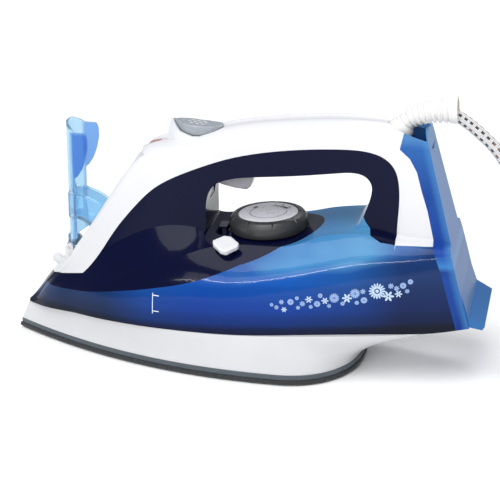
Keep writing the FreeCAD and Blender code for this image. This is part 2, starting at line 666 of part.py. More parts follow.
lid_recess = recess(0.0)
EAR_SPAN = (7.6, 10.4)
ears = []
for side in (-1, 1):
    ear = bar(2.6, (HINGE.x, side * EAR_SPAN[0], HINGE.z), (HINGE.x, side * EAR_SPAN[1], HINGE.z))
    low, high = sorted((side * EAR_SPAN[0], side * EAR_SPAN[1]))
    ears.append(ear.fuse(block((HINGE.x - 2.6, HINGE.x + 2.6), (low, high), (HINGE.z - 9.0, HINGE.z))))
lid_pin_hole = bar(D["lid_pin_dia"] / 2, (HINGE.x, -20, HINGE.z), (HINGE.x, 20, HINGE.z))
ball_room = Part.makeSphere(BALL_RADIUS + 0.5, CORD_ROOT)
guard_mouth = Part.makeCone(9.0, 17.0, 16.0, CORD_ROOT, Vector(0.93, 0, 0.37))
pedestal = loft([plan_outline(-49.0, -30.0, -6.0, 11.4, 2.6, 2.4, 132.0),
                 plan_outline(-45.6, -30.0, -9.6, 9.6, 2.6, 2.4, 148.0)])
pedestal = pedestal.cut(side_prism([(-60, 147.6), (-43.6, 147.8), (-38, 142.4), (-30, 139.9), (-20, 140.2),
                                    (-13, 143.4), (-4, 146.0), (-4, 190), (-60, 190)]))
white = white_shell.fuse(pedestal.cut(inner)).cut(button_well).cut(lens_hole).cut(lid_recess)
white = white.fuse(ears).cut(lid_pin_hole)
white = white.cut(ball_room).cut(guard_mouth).cut(nozzle_hole)
feature("handle_shell", max(white.Solids, key=lambda solid: solid.Volume))

cover_joint = block((90, 170), (-60, 60), (73.6, 200))
heel_lip = side_prism([(heel_x(58) - 1.5, 58), (heel_x(58), 58), (heel_x(44) + 1.2, 44), (D["heel_x"], 38.6),
                       (D["heel_x"] - 1.4, 36.6), (heel_x(38) - 2.4, 38.2), (heel_x(44) - 2.4, 44.0)])
heel_lip = heel_lip.common(block((100, 170), (-31.4, 31.4), (0, 100)))
feature("rear_cover_upper", rear_shell.common(cover_joint).cut(guard_mouth).cut(ball_room))
feature("rear_cover_lower", rear_shell.cut(cover_joint).fuse(heel_lip))

# ---------------------------------------------------------------- filler lid
pin_radius = D["lid_pin_dia"] / 2
lid_panel = lid_arch(LID_SIDE, 7.4, D["lid_length"], LID_WALL, HINGE.x - 1.6, HINGE.z)
lid_panel = lid_panel.cut(side_prism([(HINGE.x + 3.0, HINGE.z - 5), (HINGE.x + 40, HINGE.z - 5),
                                      (HINGE.x + 40, HINGE.z + 26), (HINGE.x + 3.0, HINGE.z + 5)]))
spout = block((HINGE.x + 6.0, HINGE.x + 16.0), (-LID_SIDE, LID_SIDE), (HINGE.z + 48.0, HINGE.z + 82.0))
spout = spout.cut(block((HINGE.x, HINGE.x + 30), (-LID_SIDE + LID_WALL, LID_SIDE - LID_WALL), (0, 300)))
spout = spout.common(side_prism([(HINGE.x + reach, HINGE.z + rise) for reach, rise in
                                 ((4, 46), (8, 48.5), (11.5, 54), (14, 61), (SPOUT_DEPTH, 68.5), (15.2, 74),
                                  (13, 79), (9, 81.6), (4, 82))]))
chute = chute_sector(CHUTE_IN, CHUTE_OUT, CHUTE_SIDE, CHUTE_ANGLE).cut(
    chute_sector(CHUTE_IN + LID_WALL, CHUTE_OUT - LID_WALL, CHUTE_SIDE - LID_WALL, 90.0))
EYE_SIDE = EAR_SPAN[0] - 0.35
for side in (-1, 1):
    low, high = sorted((side * EYE_SIDE, side * (LID_SIDE + 1)))
    lid_panel = lid_panel.cut(block((HINGE.x - 9, HINGE.x + 20), (low, high), (HINGE.z - 5, HINGE.z + 4.6)))
lid_eye = bar(3.0, (HINGE.x, -EYE_SIDE, HINGE.z), (HINGE.x, EYE_SIDE, HINGE.z))
lid = lid_panel.fuse(spout).fuse(chute).fuse(lid_eye.fuse(
    block((HINGE.x - 1.6, HINGE.x + 1.0), (-EYE_SIDE, EYE_SIDE), (HINGE.z, HINGE.z + 8))))
lid = lid.cut(bar(pin_radius + 0.06, (HINGE.x, -30, HINGE.z), (HINGE.x, 30, HINGE.z)))
# Seen from the nose, the lid's top end is rounded at both corners.
lid_top = HINGE.z + D["lid_length"] + 0.1
corner_arcs = []
for side in (-1, 1):
    ends = [Vector(-160, side * y, lid_top - drop) for y, drop in ((14.0, 12.0), (11.0, 3.4), (4.0, 0.0))]
    corner_arcs.append((Part.Arc(*ends).toShape(), ends))
(near_arc, near_ends), (far_arc, far_ends) = corner_arcs
front_edges = [near_arc, Part.makeLine(near_ends[2], far_ends[2]), far_arc]
feet = [far_ends[0], Vector(-160, 14.0, 20.0), Vector(-160, -14.0, 20.0), near_ends[0]]
front_edges += [Part.makeLine(start, end) for start, end in zip(feet, feet[1:])]
front_form = Part.Face(Part.Wire(Part.__sortEdges__(front_edges))).extrude(Vector(140, 0, 0))
lid = lid.common(front_form)
feature("filler_lid", lid)
node(cylinder("lid_pin", "dims.lid_pin_dia / 2", str(2 * EAR_SPAN[1]),
              (HINGE.x, -EAR_SPAN[1], HINGE.z), (0, 1, 0)), "lid_hinge_pin")
neck_room = bar(5.0, (FILLER_X, 0, 30.0), (FILLER_X, 0, 60.0))
lamp_room = bar(2.8, (-55.3, 0, 117.0), (-55.3, 0, 129.0))
tray = recess(TRAY_WALL).common(inner).common(above_white.fuse(pod_hollow)).cut(lid_recess)
tray = tray.cut(neck_room).cut(lamp_room).cut(lens_hole).cut(Part.makeCompound(ears))
TRAY_SPLIT = CHUTE_SIDE + 1.0
for label, low, high in (("filler_tray", -TRAY_SPLIT, TRAY_SPLIT), ("filler_tray_near", -40.0, -TRAY_SPLIT),
                         ("filler_tray_far", TRAY_SPLIT, 40.0)):
    strip = tray.common(block((-160, 0), (low, high), (0, 200)))
    feature(label, max(strip.Solids, key=lambda solid: solid.Volume))
gasket = cut("filler_gasket_cut",
             cylinder("gasket_ring", "dims.gasket_dia / 2", "dims.gasket_thickness", (FILLER_X, 0, 53.5)),
             cylinder("gasket_bore", "dims.neck_bore / 2", "3 * dims.gasket_thickness", (FILLER_X, 0, 52.0)))
node(gasket, "filler_gasket")
neck = cut("filler_neck_cut",
           cylinder("neck_outer", "dims.neck_dia / 2", "dims.neck_height", (FILLER_X, 0, 41.4)),
           cylinder("neck_hole", "dims.neck_bore / 2", "1.5 * dims.neck_height", (FILLER_X, 0, 40.0)))
node(neck, "filler_neck")

# ---------------------------------------------------------------- drip valve, nozzle and pumps
valve = cut("drip_valve_cut",
            cylinder("valve_outer", "dims.valve_dia / 2", "dims.valve_height", (DRIP_X, 0, 14.6)),
            cylinder("valve_hole", "dims.valve_bore / 2", "1.5 * dims.valve_height", (DRIP_X, 0, 10.0)))
node(valve, "drip_valve_body")
node(cylinder("needle", "dims.needle_dia / 2", "dims.needle_length", (DRIP_X, 0, 15.4)), "drip_needle")
nozzle = bar(3.0, tuple(nozzle_at - nozzle_axis * 3), tuple(nozzle_at + nozzle_axis * 4.2))
nozzle = nozzle.fuse(Part.makeCone(3.0, 1.6, 1.6, nozzle_at + nozzle_axis * 4.2, nozzle_axis))
nozzle_bore = bar(0.6, tuple(nozzle_at - nozzle_axis * 4), tuple(nozzle_at + nozzle_axis * 7))
feature("spray_nozzle", nozzle.cut(nozzle_bore))

PUMP_X = -29.4
SPRAY_Y, STEAM_Y = 6.4, -6.4


def spring(radius, wire, height, turns, at):
    helix = Part.makeHelix(height / turns, height, radius)
    ring = Part.Wire([Part.makeCircle(wire, Vector(radius, 0, 0), Vector(0, 1, 0))])
    coil = helix.makePipeShell([ring], True, True)
    coil.translate(Vector(*at))
    return coil


# Each pump: name, its Y, the foot of its cylinder and the top of its piston's rod.
for label, y, low, rod_top in (("spray_pump", SPRAY_Y, 104.0, 131.5), ("steam_pump", STEAM_Y, 90.0, 111.6)):
    barrel = cut(label + "_cylinder_cut",
                 cylinder(label + "_outer", "dims.pump_bore / 2 + dims.pump_wall", "dims.pump_height",
                          (PUMP_X, y, low)),
                 cylinder(label + "_bore", "dims.pump_bore / 2 + dims.pump_slack", "dims.pump_height",
                          (PUMP_X, y, low + D["pump_wall"])))
    node(barrel, label + "_cylinder")
    head_low = low + 12.0
    rod_low = head_low + D["piston_height"]
    piston = fuse(label + "_piston_stack",
                  cylinder(label + "_piston_head", "dims.pump_bore / 2", "dims.piston_height",
                           (PUMP_X, y, head_low)),
                  cylinder(label + "_piston_rod", "dims.rod_dia / 2", str(rod_top - rod_low),
                           (PUMP_X, y, rod_low)))
    node(piston, label + "_piston")
    feature(label + "_spring", spring(2.6, 0.45, 9.4, 5, (PUMP_X, y, low + 2.1)))
TUBE_ROUTE = [(-35.2, 9.0, 106.0), (-44.0, 11.0, 100.0), (-56.0, 12.4, 88.0), (-70.0, 13.4, 74.0),
              (-84.0, 14.2, 62.0), (-97.0, 14.0, 53.4), (-107.0, 9.6, 48.2), (-114.0, 4.0, 46.6)]
feature("spray_tube", tube(TUBE_ROUTE, 1.5, "spray tube"))
lens = doc.addObject("PartDesign::Body", "indicator_lens_body")
lens_sketch = body_sketch(lens, "XZ_Plane", "lens_outline")
closed_polygon(lens_sketch, [(-58.8, 128.6), (-51.8, 128.6), (-51.8, 133.9), (-58.8, 132.1)])
lens_pad = lens.newObject("PartDesign::Pad", "lens_pad")
lens_pad.Profile = lens_sketch
lens_pad.setExpression("Length", "dims.lens_width")
lens_pad.Midplane = True
node(place(lens, (0, 0, 0)), "indicator_lens")
node(cylinder("lamp", "dims.lamp_dia / 2", "dims.lamp_height", (-55.3, 0, 119.0)), "indicator_lamp")

# ---------------------------------------------------------------- controls
STEM_RADIUS = 4.2
button_cap = button_plan(0.0, 139.0, 20.0).cut(side_prism(
    [(-60, 148.6), (-43.6, 148.4), (-36, 147.0), (-28, 146.2), (-20, 145.9), (-12.4, 145.8), (0, 146), (0, 190),
     (-60, 190)]))
button_cap = button_cap.cut(side_prism([(-60, 130), (-60, 146.4), (-43.6, 146.4), (-38, 142.0), (-30, 139.5),
                                        (-20, 139.8), (-13, 142.8), (-4, 145.0), (-4, 130)]))
button_stem = bar(STEM_RADIUS, (PUMP_X, SPRAY_Y - 3.6, 131.8), (PUMP_X, SPRAY_Y - 3.6, 142.0))
feature("spray_button", button_cap.fuse(button_stem))

ring_outline = [(3.0, 0.0), (23.4, 0.0), (24.35, 1.6), (24.35, 6.4), (22.4, 9.6), (19.2, 10.6), (18.75, 9.4),
                (3.0, 9.4)]
dial = revolved_body("temperature_dial_body", ring_outline, tuple(DIAL_AT + dial_axis * 0.5),
                     tuple(dial_axis))
node(dial, "temperature_dial")
node(cylinder("dial_cap_disc", "dims.dial_cap_dia / 2", "dims.dial_cap_height",
              tuple(DIAL_AT + dial_axis * 9.9), tuple(dial_axis)), "dial_cap")
node(cylinder("spindle", "dims.spindle_dia / 2", "dims.spindle_length", tuple(DIAL_AT + dial_axis * -58.5),
              tuple(dial_axis)), "dial_spindle")

tab = fuse("selector_stack",
           box("selector_plate", "dims.selector_length", "dims.selector_width", "dims.selector_thickness",
               (-12.6, 0, 80.3)),
           box("selector_stem", "dims.selector_length / 2", "4", "8.8", (-12.0, 0, 71.6)))
node(tab, "steam_selector")

knob_outline = [(-8.2, 1.2), (-7.6, -1.4), (-1.6, -6.4), (1.6, -6.4), (7.8, -1.2), (8.2, 1.4), (2.4, 5.8),
                (-1.8, 6.0)]
knob = fuse("self_clean_stack",
            padded_body("knob_cap_body", knob_outline, "dims.knob_height", tuple(KNOB_AT + knob_axis * 5.2),
                        tuple(knob_axis)),
            cylinder("knob_stem", "dims.knob_stem_dia / 2", "dims.knob_stem_length",
                     tuple(KNOB_AT - knob_axis * 8.6), tuple(knob_axis)))
node(knob, "self_clean_button")

trigger_side = [(-20.2, 112.0), (-12.0, 108.8), (-4.0, 107.2), (3.0, 106.6), (5.4, 108.6), (7.4, 117.0),
                (7.4, 121.6), (-8.0, 121.6), (-14.0, 116.4), (-20.2, 115.4)]
trigger = side_prism(trigger_side, 5.9).fuse(block((-31.0, -18.0), (-5.9, -4.6), (112.0, 115.2))).fuse(
    block((-31.4, -27.4), (-8.2, -4.6), (112.0, 115.2)))
trigger = trigger.cut(bar(D["trigger_pin_dia"] / 2 + 0.06, (TRIGGER_PIVOT[0], -12, TRIGGER_PIVOT[1]),
                          (TRIGGER_PIVOT[0], 12, TRIGGER_PIVOT[1])))
feature("steam_trigger", trigger)
node(cylinder("trigger_axle", "dims.trigger_pin_dia / 2", "dims.trigger_pin_length",
              (TRIGGER_PIVOT[0], -D["trigger_pin_length"] / 2, TRIGGER_PIVOT[1]), (0, 1, 0)), "trigger_pin")

# ---------------------------------------------------------------- wiring
def three_wires(radius):
    """The cord's three wires, side by side from the ball joint down to the terminal block."""
    return Part.makeCompound([bar(radius, (96.0, y, 139.0), (106.0, y, 108.0)) for y in (-3.2, 0.0, 3.2)])


feature("lead_wires", three_wires(1.2))
feature("cord_clamp", block((93.0, 103.0), (-8, 8), (123.0, 128.0)).cut(three_wires(1.25)))
terminals = cut("terminal_cut", box("terminal_body", "14", "dims.terminal_width", "dims.terminal_height",
                                    (107.0, 0, 96.0)),
                box("terminal_slot", "8", "10", "2", (106.0, 0, 106.6)))
node(terminals, "terminal_block")

# ---------------------------------------------------------------- cord guard, cord, coil and plug
GUARD_LINE = [(96.5, 152.4), (103.0, 157.4), (111.0, 160.9), (120.0, 162.8), (130.0, 163.4)]
GUARD_RADII = [5.8, 6.2, 6.9, 7.6, 8.5]


def guard_frames():
    for index, (x, z) in enumerate(GUARD_LINE):
        before = GUARD_LINE[max(index - 1, 0)]
        after = GUARD_LINE[min(index + 1, len(GUARD_LINE) - 1)]
        yield Vector(x, 0, z), Vector(after[0] - before[0], 0, after[1] - before[1]).normalize()


guard_rings = [Part.Wire([Part.makeCircle(radius, centre, heading)])
               for (centre, heading), radius in zip(guard_frames(), GUARD_RADII)]
guard = loft(guard_rings).cut(Part.makeCone(4.4, 7.3, 10.6, Vector(119.6, 0, 162.6), Vector(1, 0, 0.04)))
guard = guard.cut(Part.makeSphere(BALL_RADIUS, CORD_ROOT))
feature("cord_guard", guard)
ball = doc.addObject("Part::Sphere", "ball")
ball.setExpression("Radius", "dims.ball_dia / 2")
node(place(ball, tuple(CORD_ROOT)), "cord_ball")

CORD_ROUTE = [(119.9, 0.0, 163.1), (127.8, -0.5, 161.0), (136.8, -1.1, 155.6), (146.2, -1.8, 148.2),
              (155.6, -2.6, 139.2), (163.0, -4.2, 127.6), (167.0, -6.6, 113.6), (168.4, -9.6, 97.4),
              (168.7, -13.2, 80.0), (169.0, -17.4, 62.6), (170.4, -22.2, 45.8), (174.0, -28.0, 31.0),
              (180.0, -33.8, 19.0), (188.0, -39.6, 10.4), (197.4, -44.2, 5.6), (207.4, -47.2, 4.1)]
TAIL_ROUTE = [(269.0, 14.0, 18.7), (269.1, 20.0, 18.8), (269.4, 27.0, 18.8), (269.4, 34.0, 18.7)]
cord_radius = D["cord_dia"] / 2
feature("cord", tube(CORD_ROUTE, cord_radius, "cord"))
feature("cord_tail", tube(TAIL_ROUTE, cord_radius, "cord tail"))
coil_centre = (D["coil_x"], 0, 0)
coil = cut("cord_coil_cut",
           cylinder("coil_outer", "dims.coil_middle_radius + dims.cord_dia", "3 * dims.cord_dia", coil_centre),
           cylinder("coil_hole", "dims.coil_middle_radius - dims.cord_dia", "9 * dims.cord_dia",
                    (D["coil_x"], 0, -5)))
node(coil, "cord_coil")
near_x = D["coil_x"] - D["coil_middle_radius"]
coil_top = 3 * D["cord_dia"]
tie = block((near_x - 9.4, near_x + 9.4), (-6, 6), (0.4, coil_top + 1.9)).cut(
    block((near_x - 8.0, near_x + 8.0), (-10, 10), (-5, coil_top)))
turns = Part.makeCylinder(D["coil_middle_radius"] + D["cord_dia"], coil_top, Vector(*coil_centre)).cut(
    Part.makeCylinder(D["coil_middle_radius"] - D["cord_dia"], coil_top, Vector(*coil_centre)))
feature("cord_tie", tie.cut(turns))
PLUG_AT = (269.4, 34.0, 18.7)
plug_outline = [(0.0, 0.0), (5.4, 0.0), (7.2, 17.0), (11.0, 20.0), (15.6, 30.0), (17.0, 40.0), (18.5, 44.0),
                (18.5, 53.0), (0.0, 53.0)]
node(revolved_body("plug_turning", plug_outline, PLUG_AT, (0, 1, 0)), "plug_body")
pins = [cylinder("plug_pin_%d" % i, "dims.plug_pin_dia / 2", "dims.plug_pin_length",
                 (PLUG_AT[0] + side * 9.5, PLUG_AT[1] + 53.0, PLUG_AT[2]), (0, 1, 0))
        for i, side in enumerate((-1, 1))]
node(fuse("plug_pin_pair", *pins), "plug_pins")

# ---------------------------------------------------------------- check and export
doc.recompute()
failed = [o.Name for o in doc.Objects if "Invalid" in o.State or "Error" in o.State]
if failed:
    raise RuntimeError("failed objects: %s" % failed)
for obj in nodes:
    if obj.Shape.isNull() or not obj.Shape.isValid() or not obj.Shape.Solids:
        raise RuntimeError("bad shape: %s" % obj.Label)
os.makedirs("parts", exist_ok=True)
for obj in nodes:
    obj.Shape.exportStep("parts/%s.step" % obj.Label)
print("wrote %d sub-parts" % len(nodes))
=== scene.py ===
import json
import math

import bmesh
import bpy
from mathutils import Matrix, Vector
from mathutils.bvhtree import BVHTree


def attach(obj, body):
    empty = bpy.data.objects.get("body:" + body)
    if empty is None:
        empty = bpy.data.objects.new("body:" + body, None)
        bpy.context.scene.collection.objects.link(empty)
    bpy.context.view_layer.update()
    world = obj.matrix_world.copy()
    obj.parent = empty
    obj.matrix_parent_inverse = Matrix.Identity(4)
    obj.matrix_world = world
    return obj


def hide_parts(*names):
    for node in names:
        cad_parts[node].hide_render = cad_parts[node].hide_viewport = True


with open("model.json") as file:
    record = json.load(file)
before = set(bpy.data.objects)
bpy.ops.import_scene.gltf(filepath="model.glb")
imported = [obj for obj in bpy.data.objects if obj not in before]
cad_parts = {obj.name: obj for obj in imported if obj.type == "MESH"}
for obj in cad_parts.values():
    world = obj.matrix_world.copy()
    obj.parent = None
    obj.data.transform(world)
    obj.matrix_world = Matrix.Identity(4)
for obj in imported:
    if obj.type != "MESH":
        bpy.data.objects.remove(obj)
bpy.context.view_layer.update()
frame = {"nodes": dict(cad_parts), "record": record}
nodes = frame["nodes"]
MM = 0.001
# A drawing X plus this many millimetres is the frame's X.
DATUM_SHIFT = -2.2


def in_frame(points):
    """Drawing points in millimetres, moved to the frame's origin and turned into metres."""
    return [Vector(((x + DATUM_SHIFT) * MM, y * MM, z * MM)) for x, y, z in points]


# ---------------------------------------------------------------- camera
CAMERA_TARGET = Vector((0.0018, 0.0, 0.065))
CAMERA_AZIMUTH, CAMERA_ELEVATION = math.radians(11.5), math.radians(21.0)
CAMERA_DISTANCE = 1.1
CAMERA_LENS = 126.7


def make_camera():
    data = bpy.data.cameras.new("camera")
    camera = bpy.data.objects.new("camera", data)
    bpy.context.collection.objects.link(camera)
    data.sensor_width = 36.0
    data.lens = CAMERA_LENS
    level = math.cos(CAMERA_ELEVATION)
    back = Vector((math.sin(CAMERA_AZIMUTH) * level, -math.cos(CAMERA_AZIMUTH) * level,
                   math.sin(CAMERA_ELEVATION)))
    camera.location = CAMERA_TARGET + back * CAMERA_DISTANCE
    camera.rotation_mode = "QUATERNION"
    camera.rotation_quaternion = (-back).to_track_quat("-Z", "Y")
    data.clip_end = 20.0
    bpy.context.scene.camera = camera


make_camera()


# ---------------------------------------------------------------- material tools
class Look:
    """A procedural material: a few helpers around one Principled shader."""

    def __init__(self, name, rough=0.4, **sockets):
        self.material = bpy.data.materials.new(name)
        self.material.use_nodes = True
        self.tree = self.material.node_tree
        self.shader = self.tree.nodes["Principled BSDF"]
        self.shader.inputs["Roughness"].default_value = rough
        for socket, value in sockets.items():
            self.shader.inputs[socket.replace("_", " ")].default_value = value
        self.place = self.add("ShaderNodeTexCoord").outputs["Object"]

    def add(self, kind, **settings):
        made = self.tree.nodes.new(kind)
        for key, value in settings.items():
            setattr(made, key, value)
        return made

    def link(self, source, target):
        self.tree.links.new(source, target)

    def noise(self, scale, detail=3.0, stretch=(1, 1, 1)):
        mapping = self.add("ShaderNodeMapping")
        mapping.inputs["Scale"].default_value = stretch
        self.link(self.place, mapping.inputs["Vector"])
        texture = self.add("ShaderNodeTexNoise")
        texture.inputs["Scale"].default_value = scale
        texture.inputs["Detail"].default_value = detail
        self.link(mapping.outputs["Vector"], texture.inputs["Vector"])
        return texture.outputs["Fac"]

    def axis(self, name):
        split = self.add("ShaderNodeSeparateXYZ")
        self.link(self.place, split.inputs["Vector"])
        return split.outputs[name]

    def math(self, operation, first, second=0.0, clamp=False):
        made = self.add("ShaderNodeMath", operation=operation, use_clamp=clamp)
        for socket, value in zip(made.inputs, (first, second)):
            if isinstance(value, (int, float)):
                socket.default_value = value
            else:
                self.link(value, socket)
        return made.outputs[0]

    def span(self, value, low, high):
        """Value rescaled so that low gives 0 and high gives 1."""
        made = self.add("ShaderNodeMapRange")
        made.inputs["From Min"].default_value = low
        made.inputs["From Max"].default_value = high
        self.link(value, made.inputs["Value"])
        return made.outputs["Result"]

    def ramp(self, value, stops, smooth=True):
        """Colours at stops along a value; each stop is (position, colour)."""
        made = self.add("ShaderNodeValToRGB")
        made.color_ramp.interpolation = "EASE" if smooth else "LINEAR"
        while len(made.color_ramp.elements) < len(stops):
            made.color_ramp.elements.new(0.5)
        for element, (at, color) in zip(made.color_ramp.elements, stops):
            element.position = at
            element.color = (*color, 1.0)
        self.link(value, made.inputs["Fac"])
        return made.outputs["Color"]

    def mix(self, share, first, second, blend="MIX"):
        made = self.add("ShaderNodeMix", data_type="RGBA", blend_type=blend)
        for name, value in (("Factor", share), ("A", first), ("B", second)):
            socket = made.inputs[name]
            if isinstance(value, (int, float)):
                socket.default_value = value
            elif isinstance(value, tuple):
                socket.default_value = (*value, 1.0)
            else:
                self.link(value, socket)
        return made.outputs["Result"]

    def color(self, source):
        self.link(source, self.shader.inputs["Base Color"])

    def roughness(self, source):
        self.link(source, self.shader.inputs["Roughness"])

    def bump(self, height, strength, distance):
        made = self.add("ShaderNodeBump")
        made.inputs["Strength"].default_value = strength
        made.inputs["Distance"].default_value = distance
        self.link(height, made.inputs["Height"])
        self.link(made.outputs["Normal"], self.shader.inputs["Normal"])


def speckled(name, color, other, rough, scale=900.0, bump=0.05, **sockets):
    """Moulded plastic or metal with a slight mottle in its colour, gloss and surface."""
    look = Look(name, rough, **sockets)
    mottle = look.noise(scale * 0.1, 4.0)
    look.color(look.mix(mottle, color, other))
    glossier, duller = (rough * 0.85,) * 3, (rough * 1.2,) * 3
    look.roughness(look.ramp(look.noise(scale * 0.3), [(0.3, glossier), (0.7, duller)]))
    look.bump(look.noise(scale), bump, 0.0002)
    return look.material


def white_shell_look():
    """White gloss plastic, greyer towards the floor with painted shade, with fine dimples on top of the
    handle.
    """
    look = Look("white_shell", 0.24, Coat_Weight=0.3, Coat_Roughness=0.08)
    # Painted shade: the white base colour darkens towards the floor.
    tone = look.ramp(look.span(look.axis("Z"), 0.0, 0.15),
                     [(0.0, (0.58, 0.585, 0.6)), (0.25, (0.62, 0.625, 0.64)),
                      (0.45, (0.68, 0.68, 0.7)), (1.0, (0.79, 0.785, 0.82))])
    look.color(look.mix(look.math("MULTIPLY", look.noise(60.0), 0.3), tone, (0.72, 0.715, 0.75)))
    dots = look.add("ShaderNodeTexVoronoi")
    dots.inputs["Scale"].default_value = 520.0
    dots.inputs["Randomness"].default_value = 0.12
    look.link(look.place, dots.inputs["Vector"])
    above = look.span(look.axis("Z"), 0.1385, 0.1425)
    front_fade = look.span(look.axis("X"), -0.012, 0.006)
    rear_fade = look.span(look.axis("X"), 0.102, 0.088)
    grip = look.math("MULTIPLY", look.math("MULTIPLY", above, front_fade), rear_fade)
    in_dot = look.math("LESS_THAN", dots.outputs["Distance"], 0.33)
    look.bump(look.math("MULTIPLY", in_dot, grip), 0.32, 0.0004)
    return look.material


def navy_look():
    """Deep navy gloss plastic of the pod and the grip liner."""
    look = Look("navy_shell", 0.16, Coat_Weight=0.14, Coat_Roughness=0.04, IOR=1.16)
    look.color(look.mix(look.noise(18.0), (0.0015, 0.0025, 0.02), (0.0025, 0.004, 0.028)))
    look.bump(look.noise(420.0), 0.03, 0.0002)
    return look.material


def tank_look():
    """Translucent blue tank, darker at the nose and the heel, with painted shade at its bottom, painted
    light up its flank and a paler flat top that is painted light.
    """
    look = Look("tank_shell", 0.14, Coat_Weight=0.25, Coat_Roughness=0.03, IOR=1.16)
    along = look.span(look.axis("X"), -0.145, 0.135)
    body = look.ramp(along, [(0.0, (0.026, 0.07, 0.21)), (0.1, (0.01, 0.03, 0.1)),
                             (0.22, (0.006, 0.026, 0.1)), (0.32, (0.004, 0.042, 0.23)),
                             (0.45, (0.002, 0.036, 0.26)), (0.64, (0.003, 0.042, 0.27)),
                             (0.78, (0.004, 0.036, 0.2)), (0.88, (0.003, 0.015, 0.085))], False)
    # Height above the tank's own bottom line, which rises towards the heel.
    rise = look.math("SUBTRACT", look.axis("Z"), look.math("MULTIPLY", look.axis("X"), 0.055))
    # Painted shade and painted light: the flank darkens towards its bottom line and brightens towards the
    # ridge.
    painted_light_and_shade = look.ramp(look.span(rise, 0.026, 0.062),
                      [(0.0, (0.2, 0.12, 0.12)), (0.12, (0.25, 0.14, 0.14)),
                       (0.3, (0.7, 0.62, 0.62)), (0.55, (1.0, 1.0, 1.0)),
                       (0.85, (1.8, 1.5, 1.15)), (1.0, (2.6, 2.0, 1.4))])
    body = look.mix(1.0, body, painted_light_and_shade, "MULTIPLY")
    # Height above the ridge between flank and flat top, which climbs faster than the bottom line.
    ridge = look.math("SUBTRACT", look.axis("Z"), look.math("MULTIPLY", look.axis("X"), 0.18))
    wobble = look.math("MULTIPLY", look.math("SUBTRACT", look.noise(26.0, 2.0), 0.5), 0.006)
    top_height = look.math("ADD", ridge, wobble)
    # Painted light: the flat top is paler where it faces up.
    top = look.ramp(along, [(0.3, (0.004, 0.04, 0.24)), (0.52, (0.012, 0.07, 0.3)),
                            (0.66, (0.045, 0.2, 0.45)), (0.8, (0.07, 0.25, 0.48)),
                            (0.88, (0.02, 0.08, 0.3)), (0.95, (0.006, 0.02, 0.13))])
    behind_pod = look.span(look.axis("X"), -0.03, 0.006)
    is_top = look.math("MULTIPLY", look.span(top_height, 0.0585, 0.0655), behind_pod)
    body = look.mix(is_top, body, top)
    # Soft streaks of light through the water.
    caustic = look.noise(34.0, 1.0, (1.0, 0.5, 2.4))
    shine = look.math("MULTIPLY", look.math("MULTIPLY", look.span(caustic, 0.5, 0.8), 0.3, True), is_top)
    look.color(look.mix(shine, body, (0.12, 0.36, 0.62)))
    look.bump(look.noise(30.0, 1.0, (1.0, 0.5, 2.2)), 0.04, 0.001)
    return look.material


HEEL_LEAN = 0.275


def cover_look():
    """Translucent rear cover: painted light makes it lighter at its top; it is also lighter above its joint
    and deeper where it backs the tank.
    """
    look = Look("rear_cover", 0.3, Coat_Weight=0.06, Coat_Roughness=0.04, IOR=1.12)
    height = look.span(look.axis("Z"), 0.03, 0.155)
    # Painted light: the blue grows paler towards the top of the cover.
    tone = look.ramp(height, [(0.0, (0.008, 0.028, 0.2)), (0.3, (0.01, 0.04, 0.26)),
                              (0.345, (0.008, 0.03, 0.2)), (0.37, (0.05, 0.2, 0.5)),
                              (0.42, (0.012, 0.05, 0.3)), (0.68, (0.014, 0.06, 0.28)),
                              (0.9, (0.03, 0.12, 0.38)), (1.0, (0.1, 0.28, 0.5))], False)
    # The heel plane leans forward; the panel is paler close to it.
    heel = look.math("ADD", look.axis("X"), look.math("MULTIPLY", look.axis("Z"), HEEL_LEAN))
    edge = look.math("MULTIPLY", look.span(heel, 0.1475, 0.1515), 0.55, True)
    tone = look.mix(edge, tone, (0.07, 0.24, 0.5))
    streak = look.span(look.noise(26.0, 2.0, (2.0, 1.0, 0.35)), 0.45, 0.8)
    look.color(look.mix(look.math("MULTIPLY", streak, 0.4, True), tone, (0.04, 0.16, 0.45)))
    look.bump(look.noise(60.0), 0.04, 0.001)
    return look.material


def lid_look():
    """Clear pale blue plastic that light passes through."""
    look = Look("filler_lid", 0.06, Coat_Weight=0.4, Coat_Roughness=0.03, Transmission_Weight=0.85,
                IOR=1.2)
    tone = look.mix(look.noise(22.0, 2.0, (1, 1, 0.5)), (0.6, 0.84, 0.98), (0.42, 0.72, 0.96))
    # Painted shade deepens the colour along both long edges of the lid.
    edge_shade_offset = look.math("ABSOLUTE", look.axis("Y"))
    look.color(look.mix(look.span(edge_shade_offset, 0.0118, 0.0130), tone, (0.05, 0.16, 0.6)))
    look.bump(look.noise(90.0), 0.03, 0.001)
    return look.material


def brushed_look(name, color, rough):
    """Bare metal with its grain along X."""
    look = Look(name, rough, Metallic=1.0)
    grain = look.noise(300.0, 3.0, (0.05, 1.0, 1.0))
    look.color(look.mix(grain, color, tuple(c * 0.75 for c in color)))
    look.bump(grain, 0.1, 0.0002)
    return look.material


BRAID_PITCH = 0.0016
BRAID_STRANDS = 16.0
FLECK_PITCH = 0.0058
FLECK_ROWS = 6.0


